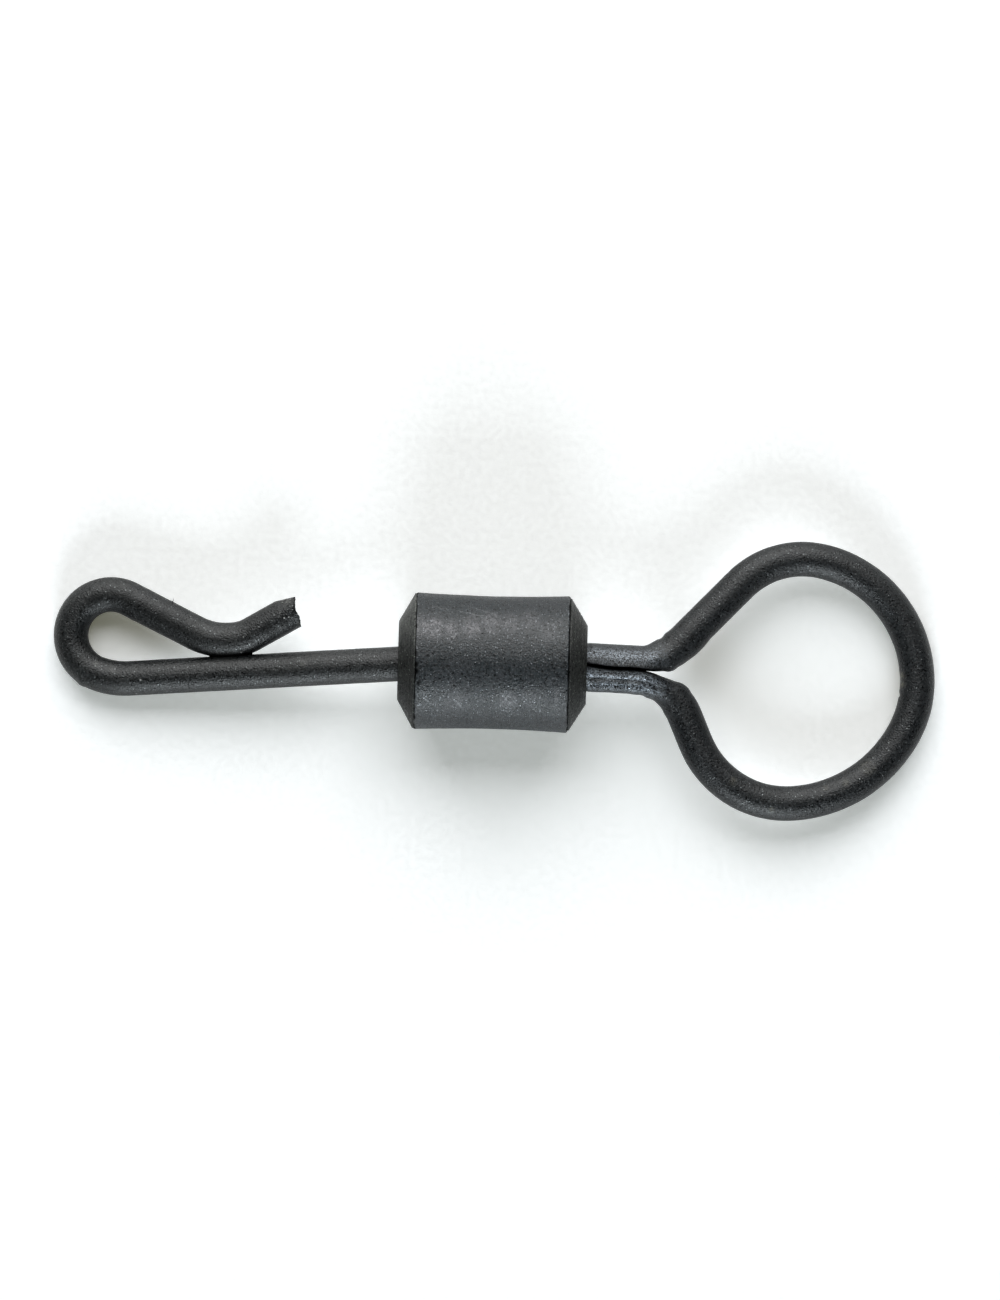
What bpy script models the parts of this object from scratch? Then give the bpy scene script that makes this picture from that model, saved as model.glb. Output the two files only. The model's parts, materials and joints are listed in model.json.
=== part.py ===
"""Chod swivel: a rolling barrel swivel with a quick-change hook at one end and a big round ring at
the other.

Metres, +Z up. The barrel lies on its two rims with its axis along X, the hook at -X and the ring at
+X. Both are loose in their bores, so their far ends sink until they rest on the same surface.
"""

import math

import bpy
import numpy as np
from mathutils import Vector

for old in list(bpy.data.objects):
    bpy.data.objects.remove(old, do_unlink=True)

# wire of the hook and the ring
WIRE_DIAMETER = 0.00085
HEAD_THICKNESS = 0.00034
HEAD_EDGE = 0.00007

# sleeve of the barrel, swaged inward at both ends
SLEEVE_LENGTH = 0.00384
SLEEVE_RIM_DIAMETER = 0.0034
SLEEVE_WAIST_DEPTH = 0.00005
SLEEVE_WALL = 0.00029
SLEEVE_END_ROUND = 0.00008
LIP_THICKNESS = 0.0001
LIP_DEPTH = 0.00009

# turned bushes that close the barrel
BUSH_LENGTH = 0.00105
BUSH_STANDOUT = 0.00044
BUSH_NOSE_RADIUS = 0.001025
BUSH_BASE_RADIUS = 0.00167
BUSH_CONE_DEG = 60.0
BUSH_EDGE = 0.000025
SEAM_WIDTH = 0.000012
SEAT_GAP = 0.00001
RUNNING_GAP = 0.000015

# quick-change hook: shank, bend, return leg, reverse bend and flared tip
HOOK_SWAY_DEG = 4.6
HOOK_SWAY_DEPTH = 0.001
HOOK_PIVOT_DEPTH = 0.00042
HOOK_SHANK_LENGTH = 0.00682
HOOK_HEAD_RADIUS = 0.00088
HOOK_BEND_RADII = (0.00203, 0.001022)
HOOK_BEND_EASE_DEG = 23.3
HOOK_RETURN_DEG = 30.1
HOOK_BELLY_RADIUS = 0.00145
HOOK_BELLY_GAP = 0.000005
HOOK_FLARE_DEG = 21.9
HOOK_FLARE_LENGTH = 0.00138
HOOK_SHEAR_DEG = 20.0

# big ring: two legs pressed into one round shank, a neck bend each, and arcs that meet at the far point
RING_SWAY_DEG = 1.55
RING_SWAY_DEPTH = 0.001375
RING_PIVOT_DEPTH = 0.0005
RING_SHANK_DIAMETER = 0.001175
RING_HEAD_RADIUS = 0.00092
RING_SPLIT_GAP = 0.000012
RING_SPLIT_ROUND_DEG = 9.0
RING_PRESS_END = 0.0014
RING_PRESS_RUNOUT = 0.0011
RING_RADIUS = 0.00265
RING_SHOULDER = 0.00118
RING_SIDESTEP = 0.000115
RING_TURN_DEG = 3.6
UPPER_ARC_RATIO = (1.158, 0.8415)
UPPER_ARC_DEG = (75.0,)
UPPER_NECK_START = 0.00187
UPPER_NECK_RADIUS = 0.0006
LOWER_ARC_RATIO = (1.064, 1.302, 0.928)
LOWER_ARC_DEG = (37.6, 48.9)
LOWER_NECK_START = 0.00145
LOWER_NECK_RADIUS = 0.00075
LOWER_NECK_EASE_DEG = 20.0
LOWER_NECK_EASE_RADIUS = 0.0008
LOWER_NECK_EASE_RUN = 0.0004

LATHE_SIDES = 64
WIRE_SIDES = 28
BEND_STEP_DEG = 7.5

nose_x = SLEEVE_LENGTH / 2 + BUSH_STANDOUT
wire_radius = WIRE_DIAMETER / 2
shank_radius = RING_SHANK_DIAMETER / 2
bore_in_sleeve = SLEEVE_RIM_DIAMETER / 2 - SLEEVE_WALL


def make_material(name, color, metallic, roughness):
    material = bpy.data.materials.new(name)
    material.use_nodes = True
    shader = material.node_tree.nodes["Principled BSDF"]
    shader.inputs["Base Color"].default_value = (*color, 1.0)
    shader.inputs["Metallic"].default_value = metallic
    shader.inputs["Roughness"].default_value = roughness
    material.diffuse_color = (*color, 1.0)
    return material


def make_object(name, points, faces, material):
    mesh = bpy.data.meshes.new(name)
    mesh.from_pydata([tuple(p) for p in points], [], faces)
    mesh.update()
    mesh.polygons.foreach_set("use_smooth", [True] * len(mesh.polygons))
    mesh.set_sharp_from_angle(angle=math.radians(32))
    mesh.materials.append(material)
    obj = bpy.data.objects.new(name, mesh)
    bpy.context.collection.objects.link(obj)
    return obj


def turn_closed(profile):
    # a closed (x, radius) outline turned once about X; the outline runs so that the faces look outward
    points = []
    faces = []
    count = len(profile)
    for side in range(LATHE_SIDES):
        angle = 2 * math.pi * side / LATHE_SIDES
        for x, radius in profile:
            points.append((x, radius * math.cos(angle), radius * math.sin(angle)))
        here = side * count
        there = (side + 1) % LATHE_SIDES * count
        for i in range(count):
            j = (i + 1) % count
            faces.append((here + i, there + i, there + j, here + j))
    return points, faces


def sleeve_profile():
    # outside, then the rounded end, the swaged lip, the bore and the other end, mirrored
    half = SLEEVE_LENGTH / 2
    rim = SLEEVE_RIM_DIAMETER / 2
    straight = half - SLEEVE_END_ROUND
    lip_inside = bore_in_sleeve - LIP_DEPTH
    end = []
    for step in range(7):
        angle = math.pi / 2 * step / 6
        x = straight + SLEEVE_END_ROUND * math.sin(angle)
        end.append((x, rim - SLEEVE_END_ROUND * (1 - math.cos(angle))))
    nib = LIP_THICKNESS / 4
    end.append((half, lip_inside + nib))
    end.append((half - nib, lip_inside))
    end.append((half - LIP_THICKNESS + nib, lip_inside))
    end.append((half - LIP_THICKNESS, lip_inside + nib))
    end.append((half - LIP_THICKNESS, bore_in_sleeve))
    waist = []
    for x in np.linspace(-straight, straight, 11)[1:-1]:
        waist.append((float(x), rim - SLEEVE_WAIST_DEPTH * (1 - (float(x) / straight) ** 2)))
    return waist + end + [(-x, radius) for x, radius in reversed(end)]


def bush_profile(bore):
    # from the flat nose over the cone and the flange, past the groove for the sleeve's lip, to the
    # spigot's end
    cone = (BUSH_BASE_RADIUS - BUSH_NOSE_RADIUS) / math.tan(math.radians(BUSH_CONE_DEG))
    flange_back = BUSH_STANDOUT - SEAM_WIDTH
    groove_end = BUSH_STANDOUT + LIP_THICKNESS + SEAT_GAP
    groove_radius = bore_in_sleeve - LIP_DEPTH - SEAT_GAP
    spigot_radius = bore_in_sleeve - SEAT_GAP
    profile = [
        (0.0, bore + BUSH_EDGE),
        (0.0, BUSH_NOSE_RADIUS),
        (cone, BUSH_BASE_RADIUS),
        (flange_back - BUSH_EDGE, BUSH_BASE_RADIUS),
        (flange_back, BUSH_BASE_RADIUS - BUSH_EDGE),
        (flange_back, groove_radius),
        (groove_end, groove_radius),
        (groove_end, spigot_radius),
        (BUSH_LENGTH - BUSH_EDGE, spigot_radius),
        (BUSH_LENGTH, spigot_radius - BUSH_EDGE),
        (BUSH_LENGTH, bore + BUSH_EDGE),
        (BUSH_LENGTH - BUSH_EDGE, bore),
        (BUSH_EDGE, bore),
    ]
    return profile


def droop_for(stations):
    # how far a shank dips so that the far side of its loop rests on the surface under the barrel
    reach = max(abs(station[0]) for station in stations)
    return math.asin((SLEEVE_RIM_DIAMETER / 2 - wire_radius) / reach)


def lean_of(sway, droop):
    return math.acos(math.cos(sway) * math.cos(droop))


def bore_for(radius, sway, sway_depth, droop, pivot_depth):
    # the bore lets a shank of this radius sway and dip in it and still turn freely
    offsets = []
    for depth in (0.0, BUSH_LENGTH):
        aside = (sway_depth - depth) * math.tan(sway)
        below = (pivot_depth - depth) * math.tan(droop)
        offsets.append(math.hypot(aside, below))
    return radius / math.cos(lean_of(sway, droop)) + max(offsets) + RUNNING_GAP


def head_stand(radius, lean, pivot_depth):
    # how far the head's underside lies from the pivot, so that its leaning rim just clears the bush
    return (BUSH_LENGTH - pivot_depth) / math.cos(lean) + radius * math.tan(lean) + RUNNING_GAP


class Path:
    # a planar bend table: straights and arcs, kept as stations of (x, y, heading)
    def __init__(self, x, y, heading):
        self.x = x
        self.y = y
        self.heading = heading
        self.stations = [(x, y, heading)]

    def straight(self, length):
        self.x += length * math.cos(self.heading)
        self.y += length * math.sin(self.heading)
        self.stations.append((self.x, self.y, self.heading))
        return self

    def arc(self, radius, turn):
        # a positive turn bends to the left
        side = math.copysign(radius, turn)
        cx = self.x - side * math.sin(self.heading)
        cy = self.y + side * math.cos(self.heading)
        steps = max(2, math.ceil(abs(math.degrees(turn)) / BEND_STEP_DEG))
        start = self.heading
        for step in range(1, steps + 1):
            self.heading = start + turn * step / steps
            self.x = cx + side * math.sin(self.heading)
            self.y = cy - side * math.cos(self.heading)
            self.stations.append((self.x, self.y, self.heading))
        return self


def round_section(radius):
    angles = [2 * math.pi * i / WIRE_SIDES for i in range(WIRE_SIDES)]
    return np.array([(radius * math.cos(a), radius * math.sin(a)) for a in angles])


def half_section():
    # half of the pressed shank, seen from the unpressed wire's middle: its flat side stays where the wire
    # touches the split, and the rest is the shank's own circle
    flat = wire_radius
    axis = wire_radius + RING_SPLIT_GAP / 2
    first = WIRE_SIDES // 9
    nip = math.radians(RING_SPLIT_ROUND_DEG)
    wide = shank_radius * math.cos(nip) - shank_radius * (1 - math.cos(2 * nip)) / 2
    across = np.linspace(-wide, wide, 2 * first + 1)
    around = np.linspace(nip, math.pi - nip, WIRE_SIDES - len(across))
    points = [(flat, float(b)) for b in across[first:]]
    for angle in around:
        points.append((axis - shank_radius * math.sin(angle), shank_radius * math.cos(angle)))
    points += [(flat, float(b)) for b in across[:first]]
    return np.array(points)


def sweep(stations, sections):
    # joins one section per station into a closed skin; the first axis of a section points left of the path
    points = []
    faces = []
    count = len(sections[0])
    for (x, y, heading), section in zip(stations, sections):
        left = Vector((-math.sin(heading), math.cos(heading), 0.0))
        for a, b in section:
            points.append(Vector((x, y, 0.0)) + left * float(a) + Vector((0.0, 0.0, float(b))))
    for row in range(len(stations) - 1):
        here = row * count
        there = here + count
        for i in range(count):
            j = (i + 1) % count
            faces.append((here + i, here + j, there + j, there + i))
    last = (len(stations) - 1) * count
    faces.append(tuple(reversed(range(count))))
    faces.append(tuple(last + i for i in range(count)))
    return points, faces


def head_rows(radius):
    # the upset head, from its free face to its underside: (distance, radius)
    return [
        (0.0, radius - 2 * HEAD_EDGE),
        (HEAD_EDGE / 2, radius - HEAD_EDGE / 2),
        (HEAD_EDGE, radius),
        (HEAD_THICKNESS - HEAD_EDGE / 2, radius),
        (HEAD_THICKNESS, radius - HEAD_EDGE / 2),
    ]


def hook_path():
    # drawn with the pivot at the origin and the shank running out along -X
    ease = math.radians(HOOK_BEND_EASE_DEG)
    fall = math.radians(HOOK_RETURN_DEG)
    flare = math.radians(HOOK_FLARE_DEG)
    first, main = HOOK_BEND_RADII
    rise = first * (1 - math.cos(ease)) + main * (math.cos(ease) + math.cos(fall))
    drop = rise - WIRE_DIAMETER - HOOK_BELLY_GAP - HOOK_BELLY_RADIUS * (1 - math.cos(fall))
    path = Path(0.0, 0.0, math.pi)
    path.straight(HOOK_PIVOT_DEPTH + HOOK_SHANK_LENGTH)
    path.arc(first, -ease)
    path.arc(main, -(math.pi + fall - ease))
    path.straight(drop / math.sin(fall))
    path.arc(HOOK_BELLY_RADIUS, fall + flare)
    path.straight(HOOK_FLARE_LENGTH)
    return path.stations


def hook_mesh(path, lean):
    back = head_stand(HOOK_HEAD_RADIUS, lean, HOOK_PIVOT_DEPTH) + HEAD_THICKNESS
    stations = []
    sections = []
    for away, radius in head_rows(HOOK_HEAD_RADIUS) + [(HEAD_THICKNESS, wire_radius)]:
        stations.append((back - away, 0.0, math.pi))
        sections.append(round_section(radius))
    for station in path[1:]:
        stations.append(station)
        sections.append(round_section(wire_radius))
    points, faces = sweep(stations, sections)
    # the tip is sheared off askew
    slant = math.tan(math.radians(HOOK_SHEAR_DEG))
    x, y, heading = stations[-1]
    ahead = Vector((math.cos(heading), math.sin(heading), 0.0))
    left = Vector((-math.sin(heading), math.cos(heading), 0.0))
    for i in range(len(points) - WIRE_SIDES, len(points)):
        points[i] = points[i] + ahead * ((points[i] - Vector((x, y, 0.0))).dot(left) * slant)
    return points, faces


def ring_half(side, ratios, turns, neck_start, neck_radius, ease=(0.0, 0.0, 0.0)):
    # from the far point round to where the press took hold, for the upper half (side 1) or the
    # mirrored lower half (side -1); each station is (x, y, heading, share pressed flat)
    radii = [RING_RADIUS * share for share in ratios]
    path = Path(
        RING_PIVOT_DEPTH + UPPER_NECK_START + RING_SHOULDER + 2 * RING_RADIUS,
        side * RING_SIDESTEP,
        math.pi / 2 + side * math.radians(RING_TURN_DEG),
    )
    for radius, turn in zip(radii, turns):
        path.arc(radius, math.radians(turn))
    radius = radii[-1]
    centre = Vector((path.x - radius * math.sin(path.heading), path.y + radius * math.cos(path.heading)))
    leg = wire_radius + RING_SPLIT_GAP / 2
    # the neck may first ease off at a small angle, run straight, and then bend fully
    ease_turn, ease_radius, ease_run = math.radians(ease[0]), ease[1], ease[2]
    neck = Vector((
        RING_PIVOT_DEPTH + neck_start + (ease_radius - neck_radius) * math.sin(ease_turn),
        leg + ease_radius - (ease_radius - neck_radius) * math.cos(ease_turn),
    )) + ease_run * Vector((math.cos(ease_turn), math.sin(ease_turn)))
    # the last arc runs on until its tangent touches the neck bend's circle from the other side
    between = neck - centre
    cross = math.asin(min(1.0, (radius + neck_radius) / between.length))
    heading = math.atan2(between.y, between.x) % (2 * math.pi) + cross
    path.arc(radius, heading - path.heading)
    path.straight(between.length * math.cos(cross))
    path.arc(neck_radius, math.pi + ease_turn - heading)
    if ease_turn:
        path.straight(ease_run)
        path.arc(ease_radius, -ease_turn)
    # the dies that press the legs together end short of the neck, and the section runs out to round
    # from there
    pressed_to = RING_PIVOT_DEPTH + RING_PRESS_END
    for share in (0.7, 0.45, 0.2):
        edge = pressed_to + RING_PRESS_RUNOUT * share
        if edge < path.x:
            path.straight(path.x - edge)
    path.straight(max(path.x - pressed_to, RING_PRESS_RUNOUT / 10))
    stations = []
    for x, y, angle in path.stations:
        share = min(1.0, max(0.0, (pressed_to + RING_PRESS_RUNOUT - x) / RING_PRESS_RUNOUT))
        stations.append((x, y, angle, share * share * (3 - 2 * share)))
    if side > 0:
        return stations
    return [(x, -y, math.pi - angle, flat) for x, y, angle, flat in reversed(stations)]


def ring_path():
    # drawn with the pivot at the origin and the shank running out along +X
    ease = (LOWER_NECK_EASE_DEG, LOWER_NECK_EASE_RADIUS, LOWER_NECK_EASE_RUN)
    lower = ring_half(-1, LOWER_ARC_RATIO, LOWER_ARC_DEG, LOWER_NECK_START, LOWER_NECK_RADIUS, ease)
    upper = ring_half(1, UPPER_ARC_RATIO, UPPER_ARC_DEG, UPPER_NECK_START, UPPER_NECK_RADIUS)
    return lower + upper[1:]


def ring_mesh(path, lean):
    # each leg runs back along the shank and ends inside the head
    inside = -head_stand(RING_HEAD_RADIUS, lean, RING_PIVOT_DEPTH) - HEAD_THICKNESS / 2
    rows = [(inside, *path[0][1:])] + path + [(inside, *path[-1][1:])]
    wire = round_section(wire_radius)
    pressed = half_section()
    stations = [(x, y, heading) for x, y, heading, _ in rows]
    sections = [wire * (1 - flat) + pressed * flat for _, _, _, flat in rows]
    return sweep(stations, sections)


def ring_head(lean):
    # the mass that both legs are upset into, inside the barrel
    back = head_stand(RING_HEAD_RADIUS, lean, RING_PIVOT_DEPTH) + HEAD_THICKNESS
    stations = []
    sections = []
    for away, radius in head_rows(RING_HEAD_RADIUS):
        stations.append((away - back, 0.0, 0.0))
        sections.append(round_section(radius))
    return sweep(stations, sections)


black = make_material("black_coating", (0.022, 0.023, 0.026), 0.85, 0.42)
black_rough = make_material("black_bush_coating", (0.02, 0.022, 0.02), 0.7, 0.6)
black_wire = make_material("black_wire_coating", (0.024, 0.026, 0.029), 0.85, 0.38)

sleeve = make_object("barrel_sleeve", *turn_closed(sleeve_profile()), black)

hook_line = hook_path()
hook_sway = math.radians(HOOK_SWAY_DEG)
hook_droop = droop_for(hook_line)
hook_lean = lean_of(hook_sway, hook_droop)
hook_bore = bore_for(wire_radius, hook_sway, HOOK_SWAY_DEPTH, hook_droop, HOOK_PIVOT_DEPTH)

ring_line = ring_path()
ring_sway = math.radians(RING_SWAY_DEG)
ring_droop = droop_for(ring_line)
ring_lean = lean_of(ring_sway, ring_droop)
ring_bore = bore_for(shank_radius, ring_sway, RING_SWAY_DEPTH, ring_droop, RING_PIVOT_DEPTH)

hook_bush = make_object("hook_end_bush", *turn_closed(bush_profile(hook_bore)), black_rough)
hook_bush.location.x = -nose_x
ring_bush = make_object("ring_end_bush", *turn_closed(bush_profile(ring_bore)), black_rough)
ring_bush.location.x = nose_x
ring_bush.rotation_euler.z = math.pi

hook = make_object("quick_change_hook", *hook_mesh(hook_line, hook_lean), black_wire)
hook.location.x = HOOK_PIVOT_DEPTH - nose_x
hook.location.y = (HOOK_PIVOT_DEPTH - HOOK_SWAY_DEPTH) * math.tan(hook_sway)
hook.rotation_euler = (0.0, -hook_droop, hook_sway)

ring = make_object("big_ring", *ring_mesh(ring_line, ring_lean), black_wire)
head = make_object("ring_head_blank", *ring_head(ring_lean), black_wire)
union = ring.modifiers.new("head", "BOOLEAN")
union.operation = "UNION"
union.solver = "EXACT"
union.object = head
bpy.context.view_layer.update()
joined = bpy.data.meshes.new_from_object(ring.evaluated_get(bpy.context.evaluated_depsgraph_get()))
ring.modifiers.remove(union)
ring.data = joined
bpy.data.objects.remove(head, do_unlink=True)
ring.location.x = nose_x - RING_PIVOT_DEPTH
ring.location.y = (RING_PIVOT_DEPTH - RING_SWAY_DEPTH) * math.tan(ring_sway)
ring.rotation_euler = (0.0, ring_droop, -ring_sway)

# the origin goes to the middle of the whole part, on the surface that the sleeve's rims rest on
bpy.context.view_layer.update()
pieces = [sleeve, hook_bush, ring_bush, hook, ring]
corners = [piece.matrix_world @ v.co for piece in pieces for v in piece.data.vertices]
low = Vector([min(c[i] for c in corners) for i in range(3)])
high = Vector([max(c[i] for c in corners) for i in range(3)])
shift = Vector((-(low.x + high.x) / 2, -(low.y + high.y) / 2, -low.z))
for piece in pieces:
    piece.location += shift
bpy.context.view_layer.update()
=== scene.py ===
import json
import math
from contextlib import contextmanager

import bmesh
import bpy
import numpy as np
from mathutils import Matrix, Vector, noise


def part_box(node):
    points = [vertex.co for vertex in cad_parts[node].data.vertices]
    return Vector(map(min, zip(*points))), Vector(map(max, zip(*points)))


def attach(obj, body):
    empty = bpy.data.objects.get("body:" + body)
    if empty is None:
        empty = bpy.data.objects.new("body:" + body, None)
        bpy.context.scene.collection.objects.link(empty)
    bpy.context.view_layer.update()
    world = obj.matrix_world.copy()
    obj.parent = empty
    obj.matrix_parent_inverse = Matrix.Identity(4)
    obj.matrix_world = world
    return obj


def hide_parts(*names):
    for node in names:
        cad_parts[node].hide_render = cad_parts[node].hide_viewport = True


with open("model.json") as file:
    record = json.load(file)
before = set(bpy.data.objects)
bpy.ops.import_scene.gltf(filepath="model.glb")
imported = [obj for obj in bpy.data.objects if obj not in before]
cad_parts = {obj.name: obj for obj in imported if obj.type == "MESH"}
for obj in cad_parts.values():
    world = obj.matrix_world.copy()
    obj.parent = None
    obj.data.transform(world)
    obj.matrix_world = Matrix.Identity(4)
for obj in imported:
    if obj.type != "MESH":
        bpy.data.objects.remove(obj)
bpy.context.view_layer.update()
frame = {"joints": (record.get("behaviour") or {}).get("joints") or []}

mm = 0.001

sleeveLow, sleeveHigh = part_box("barrel_sleeve")
barrelMiddle = (Vector(sleeveLow) + Vector(sleeveHigh)) / 2
spinJoints = {joint["name"]: joint for joint in frame["joints"]}

photo = {
    "barrelAt": (492.4, 662.6),  # the barrel's middle in the photograph, in its pixels
    "pixelsPerMm": 40.0,
    "turnDeg": 1.5,  # the camera is turned a little about its own line of sight
}


def photoSpot(px, py):
    # where a spot of the photograph lies, seen from straight above
    turn = math.radians(photo["turnDeg"])
    right = (px - photo["barrelAt"][0]) / photo["pixelsPerMm"] * mm
    up = (photo["barrelAt"][1] - py) / photo["pixelsPerMm"] * mm
    x = right * math.cos(turn) - up * math.sin(turn)
    y = right * math.sin(turn) + up * math.cos(turn)
    return np.array([barrelMiddle.x + x, barrelMiddle.y + y])


# ---- small helpers for meshes and node trees

def smoothStep(low, high, value):
    share = np.clip((value - low) / (high - low), 0.0, 1.0)
    return share * share * (3 - 2 * share)


def addNode(tree, kind, inputs=None, **settings):
    node = tree.nodes.new(kind)
    for key, value in settings.items():
        setattr(node, key, value)
    for key, value in (inputs or {}).items():
        if isinstance(value, bpy.types.NodeSocket):
            tree.links.new(value, node.inputs[key])
        else:
            node.inputs[key].default_value = value
    return node


def addMath(tree, operation, first, second=0.0):
    return addNode(tree, "ShaderNodeMath", {0: first, 1: second}, operation=operation).outputs[0]


def vectorMath(tree, operation, inputs, output="Vector"):
    return addNode(tree, "ShaderNodeVectorMath", inputs, operation=operation).outputs[output]


def linkObject(name, data):
    obj = bpy.data.objects.new(name, data)
    bpy.context.collection.objects.link(obj)
    return obj


def shadeSmooth(mesh, sharpDeg):
    mesh.shade_smooth()
    mesh.set_sharp_from_angle(angle=math.radians(sharpDeg))


def meshObject(name, points, faces, material, sharpDeg=32.0):
    mesh = bpy.data.meshes.new(name)
    mesh.from_pydata([tuple(point) for point in points], [], faces)
    mesh.update()
    shadeSmooth(mesh, sharpDeg)
    mesh.materials.append(material)
    return linkObject(name, mesh)


@contextmanager
def editing(mesh):
    work = bmesh.new()
    work.from_mesh(mesh)
    yield work
    work.to_mesh(mesh)
    work.free()


def pointsOf(mesh):
    flat = np.empty(len(mesh.vertices) * 3)
    mesh.vertices.foreach_get("co", flat)
    return flat.reshape(-1, 3)


def normalsOf(mesh):
    flat = np.empty(len(mesh.vertices) * 3)
    mesh.vertex_normals.foreach_get("vector", flat)
    return flat.reshape(-1, 3)


def putPoints(mesh, points):
    mesh.vertices.foreach_set("co", points.ravel())
    mesh.update()


def noiseAt(points, size, seed=0.0):
    shift = Vector((seed * 7.31, seed * 3.17, seed * 5.83))
    return np.array([noise.noise(Vector(point) / size + shift) for point in points])


def spotWeight(points, spots):
    # how near each point is to the nearest of some spots of the photograph: (x, y, radius in mm, strength)
    weight = np.zeros(len(points))
    for px, py, radius, strength in spots:
        away = np.linalg.norm(points[:, :2] - photoSpot(px, py), axis=1)
        weight = np.maximum(weight, strength * (1 - smoothStep(0.2 * radius * mm, radius * mm, away)))
    return weight


def setAttribute(mesh, name, values):
    attribute = mesh.attributes.get(name) or mesh.attributes.new(name, "FLOAT", "POINT")
    attribute.data.foreach_set("value", np.asarray(values, dtype=np.float32))


def addBumps(mesh, points, bumps):
    # small lumps and hollows at spots of the photograph: (x, y, radius in mm, height in mm)
    normals = normalsOf(mesh)
    for px, py, radius, height in bumps:
        weight = spotWeight(points, [(px, py, radius, 1.0)])
        near = weight > 0
        weight[near] *= 1 + 0.6 * noiseAt(points[near], 0.05 * mm, px)
        points += normals * (weight * height * mm)[:, None]
    putPoints(mesh, points)


def addTube(work, rings, order):
    # a closed tube through rings of points; order is 1 or -1, whichever turns its faces outward
    rings = [[work.verts.new(spot) for spot in ring] for ring in rings]
    for one, two in zip(rings, rings[1:]):
        for i in range(len(one)):
            j = (i + 1) % len(one)
            work.faces.new((one[i], one[j], two[j], two[i])[::order])
    work.faces.new(rings[0][::-order])
    work.faces.new(rings[-1][::order])


def roundAngles(count):
    return np.linspace(0, 2 * math.pi, count, endpoint=False)


def newTree(name, sockets):
    # a Geometry Nodes tree with its named inputs
    tree = bpy.data.node_groups.new(name, "GeometryNodeTree")
    tree.interface.new_socket("Geometry", in_out="INPUT", socket_type="NodeSocketGeometry")
    for label, kind in sockets:
        tree.interface.new_socket(label, in_out="INPUT", socket_type=kind)
    tree.interface.new_socket("Geometry", in_out="OUTPUT", socket_type="NodeSocketGeometry")
    return tree, tree.nodes.new("NodeGroupInput"), tree.nodes.new("NodeGroupOutput")


def namedValue(tree, name):
    return addNode(tree, "GeometryNodeInputNamedAttribute", {"Name": name}, data_type="FLOAT").outputs[0]


def endTree(tree, geometry, material, given):
    real = addNode(tree, "GeometryNodeRealizeInstances", {"Geometry": geometry}).outputs[0]
    done = addNode(tree, "GeometryNodeSetMaterial", {"Geometry": real, "Material": material}).outputs[0]
    tree.links.new(done, given.inputs["Geometry"])
    return tree


def useTree(obj, tree, values):
    modifier = obj.modifiers.new(tree.name, "NODES")
    modifier.node_group = tree
    for item in tree.interface.items_tree:
        if item.item_type == "SOCKET" and item.in_out == "INPUT" and item.name in values:
            modifier[item.identifier] = values[item.name]
    bpy.context.view_layer.update()
    depsgraph = bpy.context.evaluated_depsgraph_get()
    baked = bpy.data.meshes.new_from_object(obj.evaluated_get(depsgraph), preserve_all_data_layers=True,
                                            depsgraph=depsgraph)
    obj.modifiers.clear()
    obj.data = baked
    baked.name = obj.name


# ---- finishes: a black coating over metal, grained, scuffed and worn through in places, with painted shade, sheen and highlight where the meshes ask for them

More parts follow.
